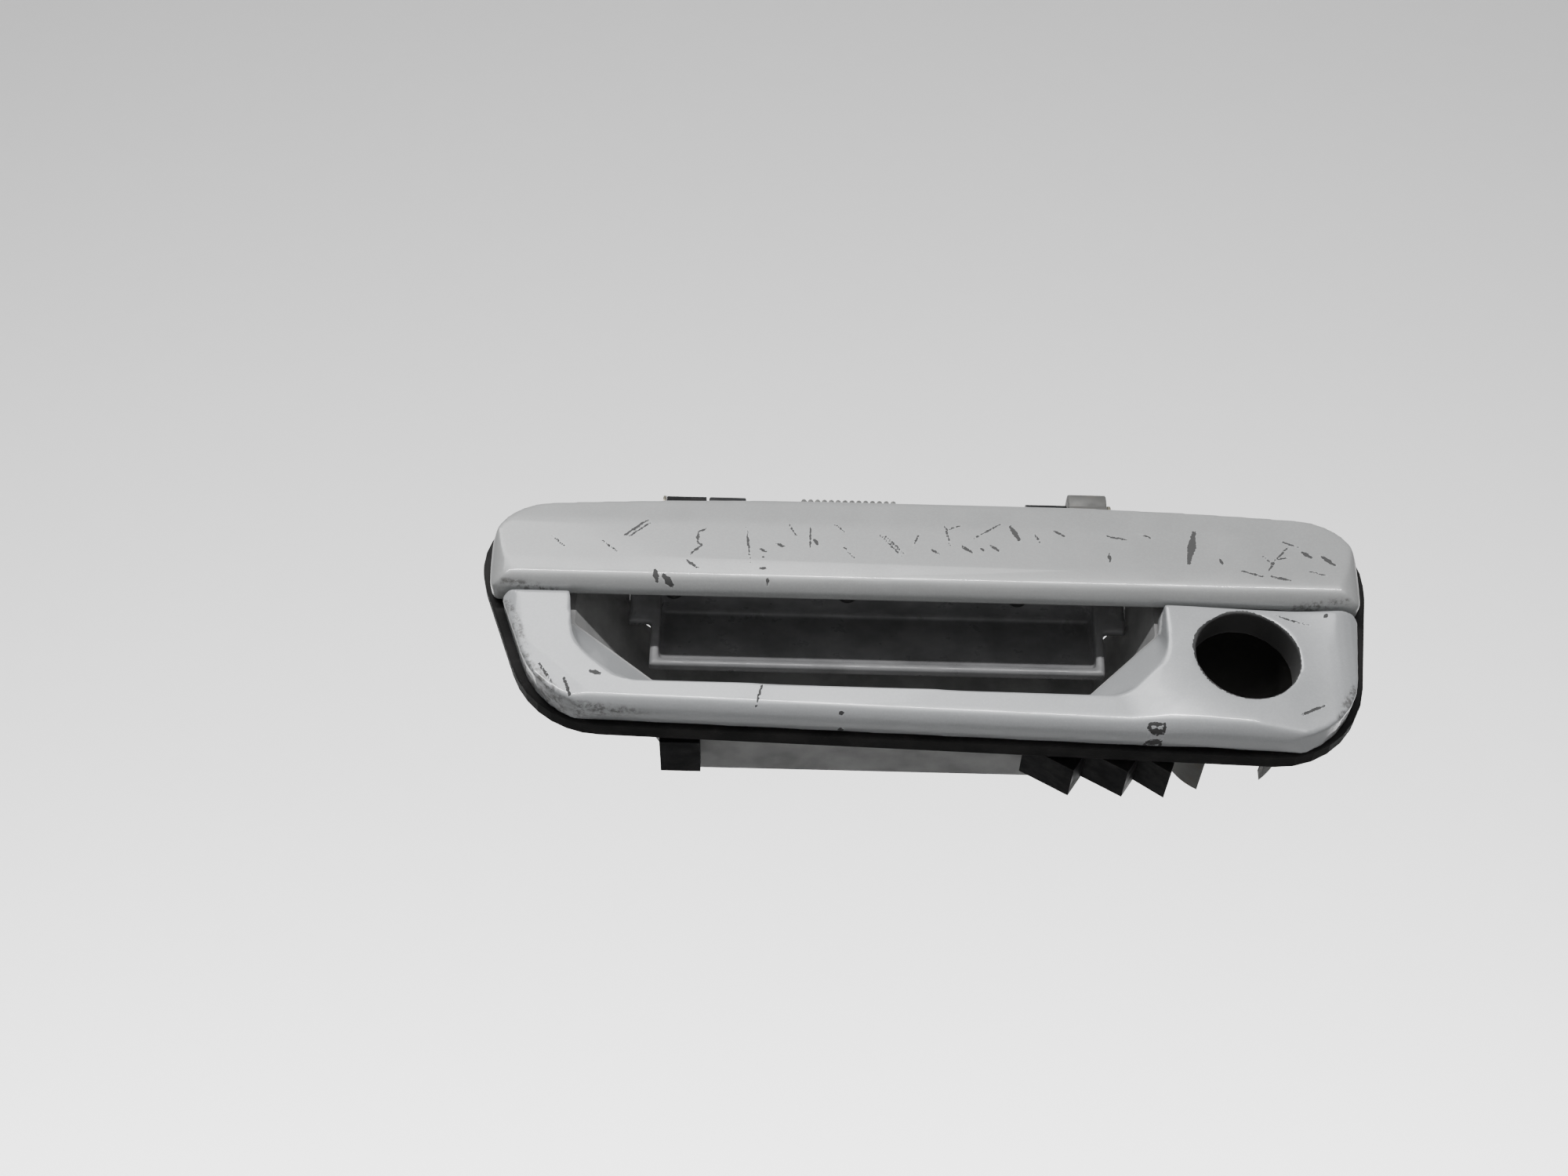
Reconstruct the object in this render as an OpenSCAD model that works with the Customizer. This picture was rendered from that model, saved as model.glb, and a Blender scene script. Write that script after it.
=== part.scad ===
// Pull-up car door handle with its mechanism.
// Millimetres. +X to the right seen from outside the car, +Z up, -Y out of the door.
// Origin: centre of the two mounting studs on the door-skin plane.

/* [Overall] */
// Width of the paddle, the widest painted piece
handle_w = 228; // [210:1:250]
// Height of the paddle's top edge above the stud line
paddle_top = 36.9; // [34:0.1:42]
// Height of the bezel's bottom edge at its left end, below the stud line
bezel_drop = 29; // [27:0.5:34]
// Extra drop of the bezel's bottom edge at the lock end
lock_end_drop = 5.6; // [0:0.1:8]
// How far the paddle's lip stands out of the door skin
lip_out = 15.5; // [14:0.1:18]

/* [Gasket] */
// Thickness of the rubber between the handle and the door skin
gasket_t = 6; // [4:0.5:7]
// How far the rubber shows beyond the painted pieces
gasket_lip = 2.4; // [1:0.1:4]
// Width of the rubber frame inside the painted outline
gasket_in = 1.2; // [0.8:0.1:1.4]

/* [Shells] */
// Wall of the painted shells
shell_t = 2.5; // [1.8:0.1:3]
// Wall of the finger pocket
liner_t = 2; // [1.5:0.1:2.6]
// Depth of the finger pocket behind the door skin
pocket_depth = 27; // [24:0.5:32]
// Gap between the paddle's lip and the bezel's arms
lip_gap = 0.9; // [0.8:0.1:2]

/* [Lock] */
// Radius of the lock cylinder's hole
lock_r = 13.4; // [12:0.1:14]
// Distance of the lock from the handle's right end
lock_inset = 32; // [30:0.5:34]
// Height of the lock
lock_z = -12.5; // [-13.5:0.5:-12]
// Length of the lock's guide sleeve behind the door skin
sleeve_len = 31; // [26:0.5:36]
// Wall of the guide sleeve
sleeve_t = 2.4; // [2:0.1:2.8]

/* [Hinge] */
// Depth of the hinge axis behind the door skin
hinge_y = 7; // [7:0.1:8]
// Height of the hinge axis above the paddle's top edge
hinge_rise = 5.3; // [5:0.1:6.5]
// Radius of the hinge pin
pin_r = 2.5; // [2:0.1:2.8]
// Radial clearance of the pin in the bushes
pin_play = 0.05; // [0.02:0.01:0.1]
// Wall of the nylon hinge bushes
bush_t = 0.9; // [0.7:0.1:1]
// Wire of the return spring
spring_wire = 1.6; // [1.2:0.1:1.8]

/* [Mounting studs] */
// Thread radius of the studs
stud_r = 3; // [2.5:0.5:3]
// Distance of each stud from the handle's end
stud_inset = 13; // [12:0.5:14]
// Length of the studs behind the door skin
stud_len = 28; // [20:1:34]

/* [Latch rod] */
// Radius of the latch rod that the clip takes
rod_r = 2; // [1.5:0.1:2.2]

/* [Hidden] */
$fn = 64;
e = 0.01;
fit = 0.2;                                   // gap between pieces that sit in each other
rim_y = -gasket_t;                           // plane where the bezel meets the gasket
paddle_rim_y = rim_y - 0.5;
half_w = handle_w / 2;
lock_x = half_w - lock_inset;
hinge_z = paddle_top + hinge_rise;
side_z = paddle_top - 24.9;                  // height where the sides start to lean in
crown = 4.9;                                 // drop of the top edge from centre to corner
corner_r = 16;
bl_x = -half_w + 15;                         // bezel's lower corners before rounding
br_x = half_w - 5.5;
br_z = -bezel_drop - lock_end_drop;
bottom_tilt = atan2(lock_end_drop, br_x - bl_x);
lip_return = 5.2;                            // depth of the lip's turned-in edge
lip_z = 4.1;                                 // lower edge of the paddle's lip
arm_top = lip_z - lip_gap;
undercut = 3;                                // the bar's front hangs lower than its rim
bezel_mid_z = -bezel_drop - bl_x / (bl_x - br_x) * lock_end_drop;
// carrier
ring_out = gasket_in + 0.3;
ring_t = 2.2;
ring_in = ring_out + ring_t;
ring_back = 6;
flange_t = 2;                                // in front of the gasket's plane
flange_back = rim_y + 1.5;
web_t = 3;
skin_gap = 2.4;                              // the hook and the teeth pass behind the door skin
bump_x = half_w - 15;
bump_z = paddle_top - 14.9;
bump_r = 3;
// finger opening
open_l = -half_w + 21;
open_r = lock_x - 20.5;
open_bottom = -24.6;
mouth_top = paddle_top - 22.9;               // behind the paddle's lip
// hinge pieces along X
scoop_l = open_l + 21;
scoop_r = open_r - 13;
left_ear = [scoop_l + 2.5, scoop_l + 13.3];
left_arm = [scoop_l + 14.1, scoop_l + 24.2];
right_ear = [scoop_r - 19.6, scoop_r - 8.5];
right_arm = [scoop_r - 7.8, scoop_r + 2.6];
arm_gap = 0.7;
bush_r = pin_r + pin_play + bush_t;
hub_r = bush_r + 0.95;
strut_y = hinge_y + 2;
strut_t = 5;
leg_top = paddle_top - 12.9;
leg_h = 6;
arm_seat_y = -9;                             // where the arms bolt to the paddle
arm_pad_t = 2;
arm_screw_z = leg_top - 10.5;
clip_t = 0.8;
// grip scoop
scoop_t = 2.4;
scoop_back = 15;
scoop_ceiling = leg_top - 9;
scoop_bottom = -7.5;
scoop_rim_y = 5;
scoop_seat_y = -5;
wing_w = 6;
swing_gap = 0.3;
scoop_screw_x = [scoop_l + 6, (scoop_l + scoop_r) / 2 - 8.25, scoop_r - 23.5];
scoop_screw_z = scoop_ceiling - 3;
swing_x = [scoop_l - wing_w - swing_gap, scoop_r + wing_w + swing_gap]; // the tray and arms swing between these
// lever and rod
lever_y = hinge_y + 22;
lever_z = hinge_z + 6;
lever_t = 4;
lever_x = (right_arm[0] + right_arm[1]) / 2;
rod_bush_r = rod_r + 1.9;
clip_x = lever_x + lever_t / 2 + 0.4;
clip_w = 3.5;
sleeve_bore = lock_r + 0.3;
sleeve_r = sleeve_bore + sleeve_t;
sleeve_ear_t = 2.5;
sleeve_ear_at = sleeve_r + 3.9;
sleeve_screws_at = [for (a = [90, -30.5]) [lock_x, lock_z] + sleeve_ear_at * [cos(a), sin(a)]];
stud_x = half_w - stud_inset;
stud_head_r = 4;
stud_head_t = 2;
nut_r = 7.5;                                 // the carrier leaves this round each stud for the skin and the nut
liner_screws_at = [[open_l - 3, 10], [open_r + 4.5, 8]];
ear_t = 2;
// self-tapping screws: [shank radius, head radius, head height]
small_screw = [1.1, 2.2, 1.3];
big_screw = [1.2, 2.8, 1.5];

// ---- outlines: convex corner lists, counter-clockwise, each corner [x, z, radius] ----
function pt(c) = [c[0], c[1]];
function out_n(a, b) = let (d = b - a) [d[1], -d[0]] / norm(d);
function arc(p0, p1, p2, r, d, n) =
    let (n1 = out_n(p0, p1), n2 = out_n(p1, p2),
         rr = max(r + d, 0.05),
         m = (n1 + n2) / (1 + n1 * n2),
         c = p1 + m * (d - rr),
         a1 = atan2(n1[1], n1[0]),
         turn = acos(min(1, n1 * n2)))
    r == 0 ? [p1 + m * d] : [for (i = [0:n]) c + rr * [cos(a1 + turn * i / n), sin(a1 + turn * i / n)]];
function rounded(cs, d = 0, n = 7) = let (k = len(cs))
    [for (i = [0:k - 1]) each arc(pt(cs[(i + k - 1) % k]), pt(cs[i]), pt(cs[(i + 1) % k]), cs[i][2], d, n)];

function top_z(x) = paddle_top - crown * pow(x / half_w, 2);
top_run = [for (s = [0.66, 0.33, 0, -0.33, -0.66]) [s * half_w, top_z(s * half_w), 260]];
upper_corners = concat([[half_w, side_z, 20], [half_w, top_z(half_w), corner_r]], top_run,
                       [[-half_w, top_z(half_w), corner_r], [-half_w, side_z, 20]]);
whole = concat([[bl_x, -bezel_drop, 23], [br_x, br_z, 21]], upper_corners);
// the rubber shows less above the paddle than at its sides
gasket_outline = [for (c = whole) [c[0], c[1] > side_z ? c[1] - gasket_lip + 0.9 : c[1], min(c[2], 200)]];
paddle_outline = concat([[-half_w + 0.7, lip_z, 2.5], [half_w - 0.7, lip_z, 2.5]], upper_corners);
arm_ends = [[half_w - 1.2, arm_top, 2], [-half_w + 3.4, arm_top, 2]];
bezel_outline = concat([[bl_x + 1.1, -bezel_drop - undercut, 25], [br_x - 0.3, br_z - undercut, 23]], arm_ends);
flange_outline = concat([[bl_x, -bezel_drop, 23], [br_x, br_z, 21]], arm_ends);
// sections as [y, z, radius] seen from the lock end, and plans as [x, y, radius]
paddle_section = [[-lip_out, lip_z, 4.5], [8, lip_z, 0], [8, paddle_top, 0],
                  [paddle_rim_y - 2.6, paddle_top, 3], [-lip_out + 3.4, paddle_top - 9.9, 40], [-lip_out, lip_z + 6.9, 20]];
bezel_section = [[-lip_out - 1.5, bezel_mid_z - undercut - 0.3, 3.5], [8, bezel_mid_z + 1.5, 0],
                 [8, arm_top + 6, 0], [-lip_out + 0.7, arm_top + 6, 0]];
arm_section = [[-lip_out - 2.9, -60, 0], [8, -60, 0], [8, arm_top, 0], [-lip_out + 0.4, arm_top, 2]];
end_plan = [[-half_w + 0.4, -lip_out, 7], [-half_w / 2, -lip_out - 0.6, 90], [half_w / 2, -lip_out - 0.6, 90],
            [half_w - 0.4, -lip_out, 7], [half_w + 1.6, 8, 0], [-half_w - 1.6, 8, 0]];
bezel_plan = [[-half_w + 3, -lip_out, 12], [-half_w / 2, -lip_out - 2.6, 90], [half_w / 2, -lip_out - 2.6, 90],
              [half_w - 0.4, -lip_out + 0.5, 12], [half_w + 1.6, 8, 0], [-half_w - 1.6, 8, 0]];
// the pocket's mouth: at the painted face and, further in, at the liner
mouth_front = [[open_l + 4, open_bottom + 0.4, 15], [open_r, open_bottom - 1.2, 14], [open_r + 1, mouth_top, 2],
               [open_l, mouth_top, 2]];
mouth_deep = [[open_l + 29, open_bottom + 1.2, 2], [open_r - 23.5, open_bottom + 0.6, 2], [open_r - 0.5, -1, 2],
              [open_r - 0.5, mouth_top, 2], [open_l + 0.3, mouth_top, 2], [open_l + 0.3, -1, 2]];
liner_back = [[scoop_l + 10, -26, 8], [scoop_r - 6.5, -26, 8], [scoop_r + 1.5, -18, 3], [scoop_r + 1.5, mouth_top + 4, 2],
              [scoop_l + 2, mouth_top + 4, 2], [scoop_l + 2, -18, 3]];

// an outline standing in the XZ plane, from y0 back to y1
module along_y(points, y0, y1) {
    translate([0, y1, 0]) rotate([90, 0, 0]) linear_extrude(y1 - y0) polygon(points);
}
// a YZ section run along X
module along_x(points, x0, x1) {
    translate([x0, 0, 0]) rotate([90, 0, 90]) linear_extrude(x1 - x0) polygon(points);
}
module rod_x(r, x0, x1, y, z) {
    translate([x0, y, z]) rotate([0, 90, 0]) cylinder(r = r, h = x1 - x0);
}
module rod_y(r, y0, y1, x, z) {
    translate([x, y0, z]) rotate([-90, 0, 0]) cylinder(r = r, h = y1 - y0);
}
module block(x, y, z) {
    translate([x[0], y[0], z[0]]) cube([x[1] - x[0], y[1] - y[0], z[1] - z[0]]);
}

// a self-tapping screw whose head seats at y0, shank pointing out of the door
module screw(kind, y0, reach, x, z) {
    difference() {
        union() {
            rod_y(kind[0], y0 - reach, y0, x, z);
            rod_y(kind[1], y0, y0 + kind[2], x, z);
        }
        for (a = [0, 90]) translate([x, y0 + kind[2], z]) rotate([0, a, 0])
            cube([kind[1] * 1.3, kind[2], 0.5], center = true);
    }
}

// ---- painted paddle: a thin shell, open at the back ----
module paddle_form(d, rim) {
    intersection() {
        along_y(rounded(paddle_outline, d), -lip_out - 5, rim);
        along_x(rounded(paddle_section, d), -half_w - 5, half_w + 5);
        translate([0, 0, -5]) linear_extrude(paddle_top + 10) polygon(rounded(end_plan, d));
    }
}
function arm_screw_x(a) = [for (s = [0.25, 0.75]) a[0] + (a[1] - a[0]) * s];
module paddle() {
    color([0.74, 0.75, 0.75]) difference() {
        paddle_form(0, paddle_rim_y);
        difference() {
            union() {
                paddle_form(-shell_t, paddle_rim_y + 1);
                block([-half_w + 8, half_w - 8], [-lip_out + lip_return, 0], [lip_z - 1, lip_z + 9]);
            }
            for (x = scoop_screw_x) rod_y(3, -lip_out - 1, scoop_seat_y, x, scoop_screw_z);
            for (a = [left_arm, right_arm], x = arm_screw_x(a))
                rod_y(2.4, -lip_out - 1, arm_seat_y, x, arm_screw_z);
            for (s = [-1, 1]) rod_y(4, -lip_out - 1, paddle_rim_y - 1.5, s * bump_x, bump_z);
        }
        for (x = scoop_screw_x) rod_y(big_screw[0], -lip_out + 5, 0, x, scoop_screw_z);
        for (a = [left_arm, right_arm], x = arm_screw_x(a))
            rod_y(small_screw[0], -lip_out + 4.5, 0, x, arm_screw_z);
    }
}

// ---- painted bezel: a shell around the finger opening and the lock ----
bezel_bosses = [[-half_w + 13.5, -8], [-half_w + 20, -17.5], [lock_x - 15, -27], [half_w - 7, -7.5]];
module bezel_form(d, rim) {
    intersection() {
        along_y(rounded(bezel_outline, d), -lip_out - 6, rim);
        rotate([0, bottom_tilt, 0]) along_x(rounded(bezel_section, d), -half_w - 5, half_w + 5);
        along_x(rounded(arm_section, d), -half_w - 5, half_w + 5);
        translate([0, 0, -45]) linear_extrude(60) polygon(rounded(bezel_plan, d));
    }
}
module mouth(d) {
    hull() {
        along_y(rounded(mouth_front, d), -lip_out - 3, -lip_out - 3 + e);
        along_y(rounded(mouth_deep, d), rim_y + 0.1, rim_y + 0.1 + e);
    }
}
module bezel() {
    color([0.79, 0.80, 0.81]) difference() {
        bezel_form(0, rim_y);
        difference() {
            bezel_form(-shell_t, rim_y + 1);
            mouth(shell_t);
            rod_y(lock_r + shell_t, -lip_out - 6, rim_y + 1, lock_x, lock_z);
            for (b = bezel_bosses) rod_y(2.6, -lip_out - 6, rim_y - flange_t, b[0], b[1]);
        }
        mouth(0);
        rod_y(lock_r, -lip_out - 8, rim_y + 1, lock_x, lock_z);
        for (b = bezel_bosses) rod_y(small_screw[0], -lip_out + 4.5, rim_y, b[0], b[1]);
    }
}

// ---- rubber gasket ----
module gasket() {
    color([0.12, 0.12, 0.12]) difference() {
        along_y(rounded(gasket_outline, gasket_lip), rim_y, 0);
        along_y(rounded(whole, -gasket_in), rim_y - 1, 1);
    }
}

// ---- finger pocket liner ----
module liner_form(d) {
    hull() {
        along_y(rounded(mouth_deep, liner_t + d), rim_y, rim_y + e);
        along_y(rounded(liner_back, d), pocket_depth - e, pocket_depth);
    }
}
module pocket_liner() {
    color([0.42, 0.42, 0.43]) difference() {
        union() {
            difference() {
                liner_form(0);
                translate([0, -liner_t, 0]) liner_form(-liner_t);
                block(swing_x, [rim_y - 1, pocket_depth - liner_t], [scoop_ceiling - 3, hinge_z]);
            }
            for (p = liner_screws_at) block([p[0] - 4, p[0] + 4], [web_t, web_t + ear_t], [p[1] - 4, p[1] + 4]);
            block([open_l - 4, open_l + 6.5], [web_t, web_t + ear_t], [6, 14]);
            block([open_r - 3.5, open_r + 5], [web_t, web_t + ear_t], [4, 12]);
        }
        for (p = liner_screws_at) rod_y(big_screw[0] + fit, 0, 9, p[0], p[1]);
    }
}

// ---- black nylon carrier ----
module ear(x) {
    rod_x(hub_r, x[0], x[1], hinge_y, hinge_z);
    block(x, [hinge_y - hub_r, hinge_y + hub_r], [paddle_top - ring_in, hinge_z]);
}
module hook_and_teeth() {
    hook_x = [open_l + 25, open_l + 35.4];
    block(hook_x, [skin_gap, ring_back], [-31.5, -26]);
    block(hook_x, [skin_gap, 18], [-32, -29]);
    block([open_r - 35.5, open_r + 3.5], [skin_gap, ring_back], [-31.5, -29]);
    for (t = [[-35.5, -18.5], [-21.5, -4.5], [-8.5, 4.5]])
        along_y([[open_r + t[0], -30], [open_r + (t[0] + t[1]) / 2 + 4, -37], [open_r + t[1], -30]], 3, 17);
}
module carrier() {
    color([0.13, 0.13, 0.14]) difference() {
        union() {
            difference() {
                along_y(rounded(whole, -ring_out), rim_y, ring_back);
                along_y(rounded(whole, -ring_in), rim_y - 1, ring_back + 1);
            }
            along_y(rounded(flange_outline, -shell_t - 0.7), rim_y - flange_t, flange_back);
            intersection() {
                along_y(rounded(whole, -ring_out - 1), 0, web_t);
                union() {
                    block([-half_w, open_l + 5], [-1, web_t + 1], [-50, bump_z + 5]);
                    block([open_r + 0.5, half_w], [-1, web_t + 1], [-50, bump_z + 5]);
                }
            }
            ear(left_ear);
            ear(right_ear);
            hook_and_teeth();
            for (s = [-1, 1]) rod_y(stud_head_r + 1, flange_back - e, 0, s * stud_x, 0);
        }
        for (a = [left_arm, right_arm])
            block([a[0] - arm_gap, a[1] + arm_gap], [-3.8, 40], [scoop_ceiling, hinge_z + 20]);
        mouth(shell_t + 0.5);
        liner_form(fit);
        block([open_l + 5, open_r + 0.5], [flange_back, 2 * ring_back], [-20, mouth_top]);
        rod_y(lock_r + shell_t + 0.4, -lip_out, rim_y + fit, lock_x, lock_z);
        rod_y(sleeve_r + fit, rim_y - 1, 40, lock_x, lock_z);
        for (s = [-1, 1]) {
            rod_y(stud_r, -9, 30, s * stud_x, 0);
            rod_y(nut_r, 0, 9, s * stud_x, 0);
            rod_y(stud_head_r, rim_y - flange_t - 1, 0, s * stud_x, 0);
        }
        for (b = bezel_bosses) {
            rod_y(small_screw[0] + fit, -lip_out, 9, b[0], b[1]);
            rod_y(small_screw[1] + 0.6, flange_back, 9, b[0], b[1]);
        }
        for (p = concat(liner_screws_at, sleeve_screws_at)) rod_y(big_screw[0], -1, 9, p[0], p[1]);
        for (x = [left_ear, right_ear]) rod_x(pin_r, x[0] - 1, x[1] + 1, hinge_y, hinge_z);
    }
}

// ---- grip scoop: the tray that the fingertips pull on ----
module scoop_end(x0) {
    along_x([[scoop_rim_y, scoop_ceiling], [scoop_rim_y, scoop_bottom], [scoop_rim_y + 3, scoop_bottom],
             [scoop_back + scoop_t, scoop_ceiling]], x0, x0 + scoop_t);
}
// the wings close the view past the tray's ends
module scoop_wing(x) {
    block(x, [scoop_rim_y, scoop_rim_y + scoop_t], [scoop_ceiling - 9, scoop_ceiling + scoop_t]);
}
module grip_scoop() {
    color([0.22, 0.22, 0.23]) difference() {
        union() {
            along_x([[scoop_seat_y, scoop_ceiling], [scoop_back, scoop_ceiling],
                     [scoop_rim_y + 2, scoop_bottom + scoop_t], [scoop_rim_y, scoop_bottom + scoop_t],
                     [scoop_rim_y, scoop_bottom], [scoop_rim_y + 3, scoop_bottom],
                     [scoop_back + scoop_t, scoop_ceiling], [scoop_back + scoop_t, scoop_ceiling + scoop_t],
                     [scoop_seat_y, scoop_ceiling + scoop_t]], scoop_l, scoop_r);
            scoop_end(scoop_l);
            scoop_end(scoop_r - scoop_t);
            scoop_wing([scoop_l - wing_w, scoop_l + scoop_t]);
            scoop_wing([scoop_r - scoop_t, scoop_r + wing_w]);
            block([scoop_l, scoop_r], [scoop_seat_y, scoop_seat_y + scoop_t], [scoop_ceiling - 6, scoop_ceiling + 1]);
            block([spring_x[0] - 3, spring_x[0] + 5], [hinge_y + 4.8, hinge_y + 7.2], [scoop_ceiling, leg_top]);
        }
        for (x = scoop_screw_x) rod_y(big_screw[0] + fit, -9, 0, x, scoop_screw_z);
    }
}

// ---- lock cylinder's guide sleeve ----
module lock_sleeve() {
    color([0.62, 0.62, 0.60]) difference() {
        union() {
            rod_y(sleeve_r, rim_y + fit, sleeve_len, lock_x, lock_z);
            for (p = sleeve_screws_at) {
                rod_y(4, web_t, web_t + sleeve_ear_t, p[0], p[1]);
                translate([lock_x, web_t, lock_z])
                    rotate([0, -atan2(p[1] - lock_z, p[0] - lock_x), 0])
                    translate([lock_r, 0, -4])
                    cube([norm(p - [lock_x, lock_z]) - lock_r, sleeve_ear_t, 8]);
            }
        }
        rod_y(sleeve_bore, rim_y - 1, sleeve_len + 1, lock_x, lock_z);
        block([lock_x - 7, lock_x + 9], [9, sleeve_len + 1], [lock_z - 30, lock_z - 8]);
        translate([lock_x + 9, sleeve_len - 4, lock_z - 30]) rotate([0, 0, -20])
            translate([-5, 0, 0]) cube([25, 20, 26]);
        for (p = sleeve_screws_at) rod_y(big_screw[0] + fit, 0, 9, p[0], p[1]);
    }
}

// ---- hinge ----
module arm_body(a) {
    difference() {
        union() {
            rod_x(hub_r, a[0], a[1], hinge_y, hinge_z);
            block(a, [strut_y, strut_y + strut_t], [leg_top - leg_h, hinge_z]);
            block(a, [strut_y - 3, strut_y + strut_t], [hinge_z - 3, hinge_z]);
            block(a, [arm_seat_y, strut_y + strut_t], [leg_top - leg_h, leg_top]);
            block(a, [arm_seat_y, arm_seat_y + arm_pad_t], [arm_screw_z - 3.5, leg_top]);
            children();
        }
        rod_x(bush_r, a[0] - 1, a[1] + 1, hinge_y, hinge_z);
        for (x = arm_screw_x(a)) rod_y(small_screw[0] + fit, -12, 0, x, arm_screw_z);
    }
}
module hinge_arm_left() {
    color([0.3, 0.3, 0.31]) arm_body(left_arm);
}
module hinge_arm_right() {
    color([0.6, 0.6, 0.6]) difference() {
        arm_body(right_arm) {
            rod_x(hub_r, right_arm[0], right_arm[1], hinge_y + 1, hinge_z + 4.3);
            block(right_arm, [hinge_y + 1, strut_y + strut_t], [hinge_z, hinge_z + 4.3 + hub_r]);
            hull() {
                rod_x(hub_r, lever_x - lever_t / 2, lever_x + lever_t / 2, strut_y + 1, hinge_z + 4);
                rod_x(rod_bush_r + 2, lever_x - lever_t / 2, lever_x + lever_t / 2, lever_y, lever_z);
            }
        }
        rod_x(rod_bush_r, lever_x - 9, lever_x + 9, lever_y, lever_z);
    }
}
module hinge_pin() {
    color([0.7, 0.7, 0.7]) difference() {
        rod_x(pin_r, left_ear[0] - 2, right_arm[1] + 2.2, hinge_y, hinge_z);
        for (x = clip_places) difference() {
            rod_x(pin_r + 1, x, x + clip_t, hinge_y, hinge_z);
            rod_x(pin_r - 0.5, x - 1, x + clip_t + 1, hinge_y, hinge_z);
        }
    }
}
clip_places = [left_ear[0] - 0.2 - clip_t, right_arm[1] + 0.2];
module pin_clips() {
    color([0.45, 0.45, 0.42]) for (x = clip_places) difference() {
        rod_x(pin_r + 2, x, x + clip_t, hinge_y, hinge_z);
        rod_x(pin_r - 0.5, x - 1, x + clip_t + 1, hinge_y, hinge_z);
        block([x - 1, x + clip_t + 1], [hinge_y - pin_r * 0.6, hinge_y + pin_r * 0.6], [hinge_z, hinge_z + 9]);
    }
}
module hinge_bushes() {
    color([0.85, 0.85, 0.8]) for (a = [left_arm, right_arm]) difference() {
        rod_x(bush_r, a[0], a[1], hinge_y, hinge_z);
        rod_x(pin_r + pin_play, a[0] - 1, a[1] + 1, hinge_y, hinge_z);
    }
}
spring_mid = left_arm[1] + 0.375 * (right_ear[0] - left_arm[1]);
spring_x = [spring_mid - 14, spring_mid + 14];
spring_in = pin_r + 0.4;
module return_spring() {
    color([0.5, 0.5, 0.5]) {
        difference() {
            rod_x(spring_in + spring_wire, spring_x[0], spring_x[1], hinge_y, hinge_z);
            rod_x(spring_in, spring_x[0] - 1, spring_x[1] + 1, hinge_y, hinge_z);
        }
        translate([spring_x[1] - 1, hinge_y - spring_in - spring_wire / 2, paddle_top - ring_out + fit])
            cylinder(r = spring_wire / 2, h = hinge_z - paddle_top + ring_out);
        translate([spring_x[0] + 1, hinge_y + spring_in + spring_wire / 2, scoop_ceiling + scoop_t + fit])
            cylinder(r = spring_wire / 2, h = hinge_z - scoop_ceiling - scoop_t);
    }
}

// ---- fasteners ----
module mounting_studs() {
    color([0.7, 0.7, 0.66]) for (s = [-1, 1]) {
        rod_y(stud_r, -e, stud_len, s * stud_x, 0);
        rod_y(stud_head_r, -stud_head_t, 0, s * stud_x, 0);
    }
}
module bezel_screws() {
    color([0.3, 0.3, 0.3]) for (b = bezel_bosses) screw(small_screw, flange_back, 6, b[0], b[1]);
}
module liner_screws() {
    color([0.3, 0.3, 0.3]) for (p = liner_screws_at) screw(big_screw, web_t + ear_t, 5, p[0], p[1]);
}
module sleeve_screws() {
    color([0.3, 0.3, 0.3]) for (p = sleeve_screws_at) screw(big_screw, web_t + sleeve_ear_t, 5.5, p[0], p[1]);
}
module scoop_screws() {
    color([0.3, 0.3, 0.3]) for (x = scoop_screw_x)
        screw(big_screw, scoop_seat_y + scoop_t, 6, x, scoop_screw_z);
}
module arm_screws() {
    color([0.3, 0.3, 0.3]) for (a = [left_arm, right_arm], x = arm_screw_x(a))
        screw(small_screw, arm_seat_y + arm_pad_t, 4, x, arm_screw_z);
}
module bump_stops() {
    color([0.08, 0.08, 0.08]) for (s = [-1, 1]) rod_y(bump_r, paddle_rim_y - 1.2, 0, s * bump_x, bump_z);
}

// ---- latch rod's bush and clip ----
module rod_bush() {
    color([0.85, 0.85, 0.8]) difference() {
        union() {
            rod_x(rod_bush_r, lever_x - lever_t / 2 - 1.2, clip_x + clip_w + 0.4, lever_y, lever_z);
            rod_x(rod_bush_r + 1.2, lever_x - lever_t / 2 - 1.2, lever_x - lever_t / 2, lever_y, lever_z);
        }
        rod_x(rod_r + pin_play, lever_x - 20, lever_x + 20, lever_y, lever_z);
    }
}
module rod_clip() {
    seat_z = lever_z - 16;
    seat_x = clip_x + clip_w + 4.5;
    color([0.8, 0.75, 0.3]) difference() {
        union() {
            rod_x(rod_bush_r + 2.2, clip_x, clip_x + clip_w, lever_y, lever_z);
            block([clip_x, clip_x + clip_w], [lever_y - 2, lever_y + 2], [seat_z, lever_z - rod_bush_r - 1]);
            translate([seat_x, lever_y, seat_z]) cylinder(r = rod_r + 1.6, h = 5);
            block([clip_x, seat_x], [lever_y - 2, lever_y + 2], [seat_z, seat_z + 5]);
        }
        rod_x(rod_bush_r + 0.1, clip_x - 1, clip_x + clip_w + 1, lever_y, lever_z);
        translate([seat_x, lever_y, seat_z - 1]) cylinder(r = rod_r, h = 7);
        block([seat_x, seat_x + 9], [lever_y - rod_r * 0.8, lever_y + rod_r * 0.8], [seat_z - 1, seat_z + 6]);
    }
}

bezel();
paddle();
gasket();
carrier();
pocket_liner();
grip_scoop();
lock_sleeve();
hinge_arm_left();
hinge_arm_right();
hinge_pin();
pin_clips();
hinge_bushes();
return_spring();
mounting_studs();
bezel_screws();
liner_screws();
sleeve_screws();
scoop_screws();
arm_screws();
bump_stops();
rod_bush();
rod_clip();
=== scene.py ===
import math

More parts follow.
